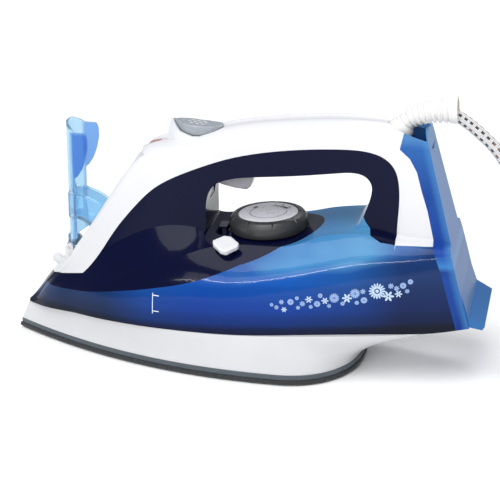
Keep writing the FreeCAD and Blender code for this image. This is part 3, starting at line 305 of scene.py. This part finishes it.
def braid_look(length):
    """Woven white jacket with staggered rows of dark flecks; U runs along the cord, V around it."""
    look = Look("cord_braid", 0.75, Sheen_Weight=0.3)
    coordinates = look.add("ShaderNodeTexCoord").outputs["UV"]
    split = look.add("ShaderNodeSeparateXYZ")
    look.link(coordinates, split.inputs["Vector"])
    along = look.math("MULTIPLY", split.outputs["X"], length / BRAID_PITCH)
    turn = look.math("MULTIPLY", split.outputs["Y"], BRAID_STRANDS)
    first = look.math("SINE", look.math("MULTIPLY", look.math("ADD", along, turn), math.pi))
    second = look.math("SINE", look.math("MULTIPLY", look.math("SUBTRACT", along, turn), math.pi))
    weave = look.math("MULTIPLY", first, second)
    rounds = look.math("ADD", look.math("MULTIPLY", split.outputs["Y"], FLECK_ROWS), 0.2)
    band = look.math("LESS_THAN", look.math("FRACT", rounds), 0.42)
    stagger = look.math("MULTIPLY", look.math("FLOOR", rounds), 0.5)
    steps = look.math("MULTIPLY", split.outputs["X"], length / FLECK_PITCH)
    dash = look.math("FRACT", look.math("ADD", steps, stagger))
    fleck = look.math("MULTIPLY", band, look.math("LESS_THAN", dash, 0.5))
    jacket = look.mix(look.span(weave, -1.0, 1.0), (0.56, 0.56, 0.57), (0.8, 0.79, 0.78))
    is_brown = look.math("GREATER_THAN", look.noise(140.0), 0.56)
    dark = look.mix(is_brown, (0.035, 0.035, 0.045), (0.22, 0.12, 0.09))
    look.color(look.mix(fleck, jacket, dark))
    look.bump(weave, 0.6, 0.0005)
    return look.material


# Mottled looks: a name, its two colours, its roughness and what else the slot needs.
SPECKLED = (
    ("sole_coating", (0.02, 0.021, 0.024), (0.035, 0.036, 0.04), 0.3,
     {"scale": 1400.0, "bump": 0.08, "Metallic": 0.3}),
    ("rim_grey", (0.05, 0.066, 0.08), (0.08, 0.1, 0.12), 0.35, {}),
    ("cast_aluminium", (0.5, 0.5, 0.52), (0.62, 0.62, 0.63), 0.5,
     {"scale": 500.0, "bump": 0.3, "Metallic": 1.0}),
    ("dial_grey", (0.028, 0.03, 0.033), (0.045, 0.048, 0.05), 0.34, {}),
    ("dial_silver", (0.66, 0.66, 0.71), (0.74, 0.74, 0.79), 0.3, {}),
    ("button_grey", (0.26, 0.29, 0.33), (0.34, 0.37, 0.41), 0.28, {"Coat_Weight": 0.4}),
    ("trigger_grey", (0.30, 0.29, 0.33), (0.38, 0.37, 0.4), 0.32, {}),
    ("selector_navy", (0.02, 0.026, 0.06), (0.035, 0.04, 0.08), 0.3, {}),
    ("lens", (0.50, 0.26, 0.24), (0.6, 0.36, 0.33), 0.15, {"Transmission_Weight": 0.3}),
    ("silicone", (0.62, 0.61, 0.57), (0.7, 0.69, 0.65), 0.55, {}),
    ("guard_white", (0.76, 0.75, 0.73), (0.82, 0.81, 0.8), 0.4, {}),
    ("plug_white", (0.78, 0.78, 0.78), (0.84, 0.84, 0.83), 0.4, {}),
    ("ceramic", (0.74, 0.69, 0.58), (0.8, 0.76, 0.66), 0.6, {}),
    ("wire_black", (0.03, 0.03, 0.03), (0.06, 0.05, 0.05), 0.45, {}),
)
LOOKS = {
    "white_plastic": white_shell_look(),
    "navy_plastic": navy_look(),
    "tank_blue": tank_look(),
    "cover_blue": cover_look(),
    "lid_blue": lid_look(),
    "steel": brushed_look("steel", (0.62, 0.62, 0.63), 0.3),
    "brass": brushed_look("brass", (0.78, 0.62, 0.32), 0.28),
}
for slot, color, other, rough, extra in SPECKLED:
    LOOKS[slot] = speckled(slot, color, other, rough, **extra)

slot_of = {s["node"]: s["material_slot"] for s in frame["record"]["subparts"]}
bodies = frame["record"]["behaviour"]["bodies"]
body_of = {member: body for body, members in bodies.items() for member in members}
# Edges that turn by more than this stay crisp on the CAD shells.
CRISP_ANGLE = math.radians(34)


def dress(obj, material):
    obj.data.materials.clear()
    obj.data.materials.append(material)
    obj.data.shade_smooth()


for name, obj in nodes.items():
    if slot_of[name] in LOOKS:
        dress(obj, LOOKS[slot_of[name]])
        obj.data.set_sharp_from_angle(angle=CRISP_ANGLE)


# ---------------------------------------------------------------- piece tools
def piece(name, mesh, node=None, body=None, material=None):
    """Link a mesh as a piece that rides on a body and, if a node is named, stands for it."""
    obj = bpy.data.objects.new(name, mesh)
    bpy.context.collection.objects.link(obj)
    if material:
        dress(obj, material)
    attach(obj, body or body_of[node])
    if node:
        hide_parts(node)
    return obj


def softened(node, voxel, rounds):
    """The CAD piece re-meshed evenly and smoothed, so that its moulded edges are rounded."""
    source = nodes[node]
    copy = bpy.data.objects.new(node + "_work", source.data.copy())
    bpy.context.collection.objects.link(copy)
    remesh = copy.modifiers.new("even", "REMESH")
    remesh.mode = "VOXEL"
    remesh.voxel_size = voxel
    smooth = copy.modifiers.new("round", "SMOOTH")
    smooth.factor = 0.5
    smooth.iterations = rounds
    graph = bpy.context.evaluated_depsgraph_get()
    mesh = bpy.data.meshes.new_from_object(copy.evaluated_get(graph))
    bpy.data.objects.remove(copy)
    return piece(node + "_shell", mesh, node, material=LOOKS[slot_of[node]])


# Each small moulding: its node, the re-mesh's cell in metres and the rounds of smoothing.
SOFTENED = (("filler_lid", 0.0006, 6), ("steam_trigger", 0.0006, 8), ("spray_button", 0.0006, 8),
            ("self_clean_button", 0.0005, 9), ("steam_selector", 0.0005, 4),
            ("indicator_lens", 0.0004, 5), ("plug_body", 0.0009, 8))
for moulding in SOFTENED:
    softened(*moulding)


def grid_mesh(name, rows, closed=True, cap_first=False, cap_last=False):
    """Quad mesh through rows of points; each row is one ring."""
    mesh = bpy.data.meshes.new(name)
    form = bmesh.new()
    rings = [[form.verts.new(point) for point in row] for row in rows]
    count = len(rings[0])
    for first, second in zip(rings, rings[1:]):
        for index in range(count if closed else count - 1):
            follow = (index + 1) % count
            form.faces.new((first[index], first[follow], second[follow], second[index]))
    if cap_first:
        form.faces.new(list(reversed(rings[0])))
    if cap_last:
        form.faces.new(rings[-1])
    bmesh.ops.recalc_face_normals(form, faces=form.faces)
    form.to_mesh(mesh)
    form.free()
    return mesh


# ---------------------------------------------------------------- temperature dial
DIAL_TILT = math.radians(3.5)
DIAL_CENTRE = Vector((0.0140, 0.0, 0.0804))
DIAL_UP = Vector((-math.sin(DIAL_TILT), 0.0, math.cos(DIAL_TILT)))
DIAL_RIGHT = Vector((math.cos(DIAL_TILT), 0.0, math.sin(DIAL_TILT)))
# Radius and height of the ring's bevel, in millimetres; its notches cross these rows.
BEVEL_ROWS = ((22.7, 9.3), (22.2, 9.75), (20.4, 10.25), (19.4, 10.5))
DIAL_NOTCHES = 9
NOTCH_PHASE = 0.32
NOTCH_SHARE = 0.032
NOTCH_DEPTH, NOTCH_INSET = 0.75, 0.25
PRINT_HEIGHT = 10.42


def on_dial(radius, height, angle):
    """Point on the dial; radius and height above its seat are in millimetres."""
    across = DIAL_RIGHT * math.cos(angle) + Vector((0, 1, 0)) * math.sin(angle)
    return DIAL_CENTRE + DIAL_UP * ((height + 0.5) * MM) + across * (radius * MM)


def make_dial_ring(steps=360):
    """Bevelled ring with shallow radial notches across its bevel."""
    profile = [(6.0, 0.1), (23.2, 0.1), (23.9, 0.5), (24.25, 1.5), (24.3, 6.6), (23.9, 7.6),
               *BEVEL_ROWS, (19.0, 10.45), (18.85, 10.1), (18.8, 9.5)]
    rows = []
    for radius, height in profile:
        row = []
        for index in range(steps):
            angle = 2 * math.pi * index / steps
            phase = (angle * DIAL_NOTCHES / (2 * math.pi) + NOTCH_PHASE) % 1.0
            groove = 0.0
            if (radius, height) in BEVEL_ROWS:
                groove = max(0.0, 1.0 - abs(phase - 0.5) / NOTCH_SHARE)
            depth = NOTCH_DEPTH * min(1.0, 1.5 * groove)
            row.append(on_dial(radius - NOTCH_INSET * groove, height - depth, angle))
        rows.append(row)
    ring = piece("dial_ring", grid_mesh("dial_ring", rows), "temperature_dial",
                 material=LOOKS["dial_grey"])
    ring.data.set_sharp_from_angle(angle=math.radians(28))


def arc_strip(name, inner, outer, start, end, ink, steps=60, flare=0.0):
    """Printed arc between two radii and two angles in degrees, wider by flare at its start."""
    rows = []
    for index in range(steps + 1):
        share = index / steps
        angle = math.radians(start + share * (end - start))
        rim = outer + flare * (1 - share)
        rows.append([on_dial(inner, PRINT_HEIGHT, angle), on_dial(rim, PRINT_HEIGHT, angle)])
    piece(name, grid_mesh(name, rows, closed=False), body="dial", material=ink)


def make_dial_disc():
    """Silver disc with a plain printed scale: a line, a wedge, ticks, dots and an off mark."""
    profile = [(0.2, 10.35), (9.0, 10.35), (17.6, 10.3), (18.3, 10.2), (18.6, 9.9), (18.6, 9.4)]
    steps = 120
    rows = [[on_dial(r, h, 2 * math.pi * i / steps) for i in range(steps)] for r, h in profile]
    piece("dial_disc", grid_mesh("dial_disc", rows, cap_first=True), "dial_cap",
          material=LOOKS["dial_silver"])
    ink = speckled("dial_ink", (0.015, 0.015, 0.018), (0.03, 0.03, 0.035), 0.5)
    arc_strip("dial_scale_line", 11.2, 11.6, 128, 378, ink)
    arc_strip("dial_scale_wedge", 11.6, 11.7, 30, 92, ink, flare=2.2)
    for index in range(9):
        angle = 34 + 7.4 * index
        arc_strip("dial_tick_%d" % index, 9.9, 11.2, angle, angle + 1.6, ink, 3)
    for group, (angle, count) in enumerate(((84, 1), (62, 2), (38, 3))):
        for dot in range(count):
            at = angle + 3.4 * (dot - (count - 1) / 2)
            arc_strip("dial_dot_%d_%d" % (group, dot), 14.6, 15.5, at - 1.4, at + 1.4, ink, 6)
    arc_strip("dial_off_mark", 12.0, 13.6, 132, 146, ink, 12)


make_dial_ring()
make_dial_disc()

# ---------------------------------------------------------------- cord guard
GUARD_LINE = in_frame([(96.5, 0, 152.4), (103.0, 0, 157.4), (111.0, 0, 160.9), (120.0, 0, 162.8),
                       (129.9, 0, 163.4)])
GUARD_SIDES = 56
GUARD_RIBS = 9
GUARD_RADIUS, GUARD_FLARE, RIB_HEIGHT = 5.6, 2.75, 1.25
RIBS_FROM, RIBS_TO = 0.04, 0.86


def along_guard(share):
    """Point and heading on the guard's bent centreline."""
    place = share * (len(GUARD_LINE) - 1)
    index = min(int(place), len(GUARD_LINE) - 2)
    t = place - index
    a, b = GUARD_LINE[max(index - 1, 0)], GUARD_LINE[index]
    c, d = GUARD_LINE[index + 1], GUARD_LINE[min(index + 2, len(GUARD_LINE) - 1)]
    # A Catmull-Rom span from b to c.
    square, cube = 2 * a - 5 * b + 4 * c - d, 3 * b - a - 3 * c + d
    at = 0.5 * ((2 * b) + (c - a) * t + square * t * t + cube * t ** 3)
    heading = 0.5 * ((c - a) + 2 * square * t + 3 * cube * t * t)
    return at, heading.normalized()


def guard_ring(share, radius):
    """Ring of points round the guard's centreline; the radius is in millimetres."""
    at, heading = along_guard(share)
    side = Vector((0, 1, 0))
    over = heading.cross(side)
    turns = [2 * math.pi * index / GUARD_SIDES for index in range(GUARD_SIDES)]
    return [at + (side * math.cos(turn) + over * math.sin(turn)) * (radius * MM) for turn in turns]


def make_guard(steps=180):
    """Ribbed bell: raised rings along its length, a plain lip, and a cream throat."""
    rows = []
    for index in range(steps + 1):
        share = index / steps
        base = GUARD_RADIUS + GUARD_FLARE * share
        wave = 0.5 - 0.5 * math.cos(2 * math.pi * GUARD_RIBS * share / RIBS_TO)
        is_ribbed = RIBS_FROM < share < RIBS_TO
        depth = RIB_HEIGHT * (1.0 - min(1.0, wave * 1.7)) if is_ribbed else 0.0
        rows.append(guard_ring(share, base - depth))
    lip = (8.2, 7.9, 7.4)
    rows += [guard_ring(1.0, radius) for radius in lip]
    throat = ((0.985, 7.1), (0.94, 6.4), (0.86, 5.2), (0.76, 4.2))
    rows += [guard_ring(share, radius) for share, radius in throat]
    guard = piece("guard_bell", grid_mesh("guard_bell", rows, cap_first=True, cap_last=True),
                  "cord_guard", material=LOOKS["guard_white"])
    cream = speckled("guard_throat", (0.62, 0.55, 0.42), (0.7, 0.63, 0.5), 0.6)
    guard.data.materials.append(cream)
    first_inside = (steps + len(lip)) * GUARD_SIDES
    for face in guard.data.polygons:
        if min(face.vertices) >= first_inside:
            face.material_index = 1


make_guard()


# ---------------------------------------------------------------- prints on the tank and button
PRINT_LIFT = 0.00012
# Where a printed point goes if its ray misses the tank.
MISSED_Y = -0.05
EYE_STEPS = 32
EYE_SHARE = 0.6


def surface_of(obj):
    """Tree that finds where a ray meets an object."""
    graph = bpy.context.evaluated_depsgraph_get()
    return BVHTree.FromObject(obj, graph)


def laid_on(tree, x, z):
    """Point on the near side of the tank at (x, z), lifted a little off it."""
    hit, normal, _, _ = tree.ray_cast(Vector((x, -0.09, z)), Vector((0, 1, 0)))
    return hit + normal * PRINT_LIFT if hit else Vector((x, MISSED_Y, z))


def petal_radius(angle, petals, size, depth, power):
    """How far a flower reaches at an angle; depth is how far its petals are cut in."""
    wave = abs(math.cos(angle * petals / 2)) ** power
    return size * (1 - depth + depth * wave)


def make_flower(tree, name, x, z, size, petals, depth, power, hole, material, steps=96):
    """Flat flower laid on the tank, with an eye where its hole is wide enough."""
    rows = []
    for share in (0.0, 0.33, 0.66, 1.0):
        row = []
        for index in range(steps):
            angle = 2 * math.pi * index / steps
            reach = hole * size + share * (petal_radius(angle, petals, size, depth, power) - hole * size)
            row.append(laid_on(tree, x + reach * math.cos(angle), z + reach * math.sin(angle)))
        rows.append(row)
    piece(name, grid_mesh(name, rows), body="base", material=material)
    if hole > 0.2:
        turns = [2 * math.pi * index / EYE_STEPS for index in range(EYE_STEPS)]
        rows = [[laid_on(tree, x + share * hole * EYE_SHARE * size * math.cos(turn),
                         z + share * hole * EYE_SHARE * size * math.sin(turn)) for turn in turns]
                for share in (0.05, 0.5, 1.0)]
        piece(name + "_eye", grid_mesh(name + "_eye", rows, cap_first=True), body="base", material=material)


# Each kind of flower: its petals, how deep and how sharply they are cut, and its hole.
FLOWER_KINDS = {"daisy": (16, 0.55, 0.6, 0.34), "star": (6, 0.72, 1.3, 0.14),
                "aster": (14, 0.4, 0.8, 0.24), "dot": (8, 0.08, 1.0, 0.24), "small": (7, 0.5, 1.2, 0.12)}
# Each flower: its kind, its share of the way along the band, its rise and its size in millimetres.
FLOWER_BAND = (
    ("dot", 0.01, 0.6, 1.1), ("small", 0.045, -1.4, 1.5), ("small", 0.08, 1.6, 1.6),
    ("star", 0.10, -3.4, 1.8), ("dot", 0.145, 1.0, 1.9), ("dot", 0.19, 2.9, 1.2),
    ("dot", 0.20, -3.2, 1.2), ("small", 0.23, -1.0, 1.8), ("star", 0.275, 1.2, 2.3),
    ("dot", 0.29, -3.6, 1.2), ("dot", 0.335, -2.2, 1.9), ("dot", 0.355, 2.8, 1.4),
    ("star", 0.39, -0.8, 2.2), ("small", 0.42, -4.4, 1.4), ("aster", 0.455, 0.2, 3.1),
    ("dot", 0.515, -4.0, 1.3), ("star", 0.545, -0.9, 3.0), ("aster", 0.60, 1.4, 3.1),
    ("dot", 0.615, -4.6, 1.3), ("small", 0.655, 2.0, 1.7), ("dot", 0.665, -3.6, 2.0),
    ("daisy", 0.755, 1.0, 5.0), ("star", 0.835, -3.2, 3.4), ("small", 0.85, 3.0, 1.8),
    ("small", 0.89, 1.0, 1.7), ("star", 0.905, -2.6, 2.3), ("dot", 0.935, 2.2, 1.9),
    ("small", 0.965, -1.6, 1.5), ("dot", 0.985, 4.0, 1.6))


def print_band():
    """A loose band of daisies, stars and dots that rises towards the heel; the arrangement is its own."""
    tree = surface_of(nodes["water_tank"])
    ink = speckled("printed_silver", (0.42, 0.56, 0.78), (0.55, 0.68, 0.86), 0.35)
    faint = speckled("printed_faint", (0.22, 0.34, 0.62), (0.3, 0.42, 0.68), 0.35)
    start, finish = Vector((0.0240, 0, 0.0490)), Vector((0.1080, 0, 0.0632))
    for index, (kind, share, rise, size) in enumerate(FLOWER_BAND):
        petals, depth, power, hole = FLOWER_KINDS[kind]
        at = start + (finish - start) * share
        name = "print_%s_%02d" % (kind, index)
        make_flower(tree, name, at.x, at.z + rise * MM, size * MM, petals, depth, power, hole,
                    ink if kind in ("daisy", "star") else faint)


def fill_mark():
    """Fill level: an upright line with two short ticks."""
    tree = surface_of(nodes["water_tank"])
    ink = speckled("fill_mark_ink", (0.6, 0.66, 0.76), (0.7, 0.75, 0.84), 0.4)
    for name, low, high in (("fill_line", (-0.0502, 0.0365), (-0.0497, 0.0495)),
                            ("fill_bar", (-0.0497, 0.0478), (-0.0458, 0.0484)),
                            ("fill_foot", (-0.0497, 0.0380), (-0.0458, 0.0386))):
        rows = []
        for step in range(9):
            z = low[1] + (high[1] - low[1]) * step / 8
            rows.append([laid_on(tree, low[0] + (high[0] - low[0]) * part / 4, z)
                         for part in range(5)])
        piece(name, grid_mesh(name, rows, closed=False), body="base", material=ink)


# The printed drops on the spray button, in metres; each row is its Y in millimetres and its count.
DROP_LENGTH, DROP_HALF_WIDTH = 0.0013, 0.0007
DROPS_X, DROP_SPACING = -0.0305, 0.0034
DROP_ROWS = ((-3.0, 3), (0.0, 4), (3.0, 3))


def droplet_marks():
    """Three rows of small printed drops on the spray button's cap."""
    tree = surface_of(bpy.data.objects["spray_button_shell"])
    ink = speckled("droplet_ink", (0.74, 0.76, 0.79), (0.8, 0.82, 0.85), 0.35)
    steps = 20
    for row, (y, count) in enumerate(DROP_ROWS):
        for place in range(count):
            centre = Vector((DROPS_X + DROP_SPACING * (place - (count - 1) / 2), y * MM, 0.2))
            rows = []
            for share in (0.06, 0.55, 1.0):
                ring = []
                for index in range(steps):
                    angle = 2 * math.pi * index / steps
                    pinch = 0.55 + 0.45 * math.sin(angle / 2) ** 1.5
                    across = DROP_HALF_WIDTH * pinch * math.sin(angle)
                    offset = Vector((DROP_LENGTH * math.cos(angle), across, 0)) * share
                    hit, normal, _, _ = tree.ray_cast(centre + offset, Vector((0, 0, -1)))
                    ring.append(hit + normal * PRINT_LIFT)
                rows.append(ring)
            name = "droplet_%d_%d" % (row, place)
            piece(name, grid_mesh(name, rows, cap_first=True), body="spray_push", material=ink)


print_band()
fill_mark()
droplet_marks()

# ---------------------------------------------------------------- cord
CORD_WIDTH = 0.0075
DROP_ROUTE = in_frame([
    (119.9, 0.0, 163.1), (127.8, -0.5, 161.0), (136.8, -1.1, 155.6), (146.2, -1.8, 148.2),
    (155.6, -2.6, 139.2), (163.0, -4.2, 127.6), (167.0, -6.6, 113.6), (168.4, -9.6, 97.4),
    (168.7, -13.2, 80.0), (169.0, -17.4, 62.6), (170.4, -22.2, 45.8), (174.0, -28.0, 31.0),
    (180.0, -33.8, 19.0), (188.0, -39.6, 10.4), (197.4, -44.2, 5.6), (207.4, -47.2, 4.1)])
TAIL_ROUTE = in_frame([(269.1, 20.0, 18.8), (269.4, 27.0, 18.8), (269.4, 34.0, 18.7)])
COIL_CENTRE = Vector((0.2218, 0.0, 0.0))
OUTER, INNER = 0.045, 0.0375
LAYERS = (0.00375, 0.01125, 0.01875)
COIL_START, COIL_END, COIL_STEP = -86.0, 1800.0, 23.0
ENTRY_RADIUS, ENTRY_HEIGHT = 0.0492, 0.0039
# Where the coil changes place: the angles where that starts and ends, the radius and the layer.
COIL_MOVES = [(-86, -56, OUTER, 0), (190, 250, INNER, 0), (490, 550, INNER, 1), (790, 850, OUTER, 1),
              (1090, 1120, OUTER, 2), (1120, 1150, INNER, 2), (1630, 1690, OUTER, 2)]


def coil_points():
    """Turns of the coil, each changing place over a short stretch of its round."""
    count = int((COIL_END - COIL_START) / COIL_STEP)
    widen = 1.0 / math.cos(math.radians(COIL_STEP / 2))
    points = []
    for index in range(count + 1):
        angle = COIL_START + index * (COIL_END - COIL_START) / count
        radius, height = ENTRY_RADIUS, ENTRY_HEIGHT
        for start, end, next_radius, layer in COIL_MOVES:
            share = min(1.0, max(0.0, (angle - start) / (end - start)))
            radius += share * (next_radius - radius) if share < 1.0 else next_radius - radius
            height += share * (LAYERS[layer] - height) if share < 1.0 else LAYERS[layer] - height
        turn, reach = math.radians(angle), radius * widen
        points.append(COIL_CENTRE + Vector((reach * math.cos(turn), reach * math.sin(turn), height)))
    return points


def nurbs_cord(name, points, radius):
    """Round cord along one smooth curve."""
    curve = bpy.data.curves.new(name, "CURVE")
    curve.dimensions = "3D"
    spline = curve.splines.new("NURBS")
    spline.points.add(len(points) - 1)
    for target, point in zip(spline.points, points):
        target.co = (*point, 1.0)
    spline.order_u = 3
    spline.use_endpoint_u = True
    curve.resolution_u = 10
    curve.bevel_depth = radius
    curve.bevel_resolution = 6
    curve.use_fill_caps = True
    obj = bpy.data.objects.new(name, curve)
    bpy.context.collection.objects.link(obj)
    return obj


cord_points = DROP_ROUTE + coil_points() + TAIL_ROUTE
cord_length = 1.6
cord = nurbs_cord("braided_cord", cord_points, CORD_WIDTH / 2)
cord.data.materials.append(braid_look(cord_length))
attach(cord, "cord_swivel")
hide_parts("cord", "cord_coil", "cord_tail")


# ---------------------------------------------------------------- floor and light
def make_floor():
    mesh = bpy.data.meshes.new("floor")
    form = bmesh.new()
    bmesh.ops.create_grid(form, x_segments=1, y_segments=1, size=6.0)
    form.to_mesh(mesh)
    form.free()
    floor = bpy.data.objects.new("floor", mesh)
    bpy.context.collection.objects.link(floor)
    look = Look("floor", 0.9)
    look.color(look.mix(look.noise(3.0), (0.93, 0.93, 0.93), (0.95, 0.95, 0.95)))
    dress(floor, look.material)
    floor.location.z = -0.0003


def make_strip(name, at, target, size, power, size_y):
    """Rectangular area light that faces its target."""
    data = bpy.data.lights.new(name, "AREA")
    data.shape = "RECTANGLE"
    data.size = size
    data.size_y = size_y
    data.energy = power
    light = bpy.data.objects.new(name, data)
    bpy.context.collection.objects.link(light)
    light.location = at
    light.rotation_mode = "QUATERNION"
    light.rotation_quaternion = (Vector(target) - Vector(at)).to_track_quat("-Z", "Y")


def make_world():
    world = bpy.data.worlds.new("studio")
    bpy.context.scene.world = world
    world.use_nodes = True
    background = world.node_tree.nodes["Background"]
    background.inputs["Color"].default_value = (0.93, 0.96, 1.0, 1.0)
    background.inputs["Strength"].default_value = 0.34


def make_sun(name, direction, strength, spread):
    data = bpy.data.lights.new(name, "SUN")
    data.energy = strength
    data.angle = math.radians(spread)
    sun = bpy.data.objects.new(name, data)
    bpy.context.collection.objects.link(sun)
    sun.rotation_mode = "QUATERNION"
    sun.rotation_quaternion = Vector(direction).to_track_quat("-Z", "Y")


make_floor()
make_world()
make_sun("overhead", (0.12, 0.42, -1.0), 2.15, 50.0)
make_strip("front_strip", (-0.35, -1.3, 0.75), (0, 0, 0.07), 0.9, 2.4, size_y=0.25)
make_strip("ridge_strip", (0.0, -1.25, 0.6), (0, 0, 0.07), 1.8, 5.0, size_y=0.03)
make_strip("rear_strip", (0.35, 0.7, 0.9), (0.02, 0, 0.1), 0.9, 4.0, size_y=0.2)
view = bpy.context.scene.view_settings
view.view_transform = "Standard"
view.look = "None"
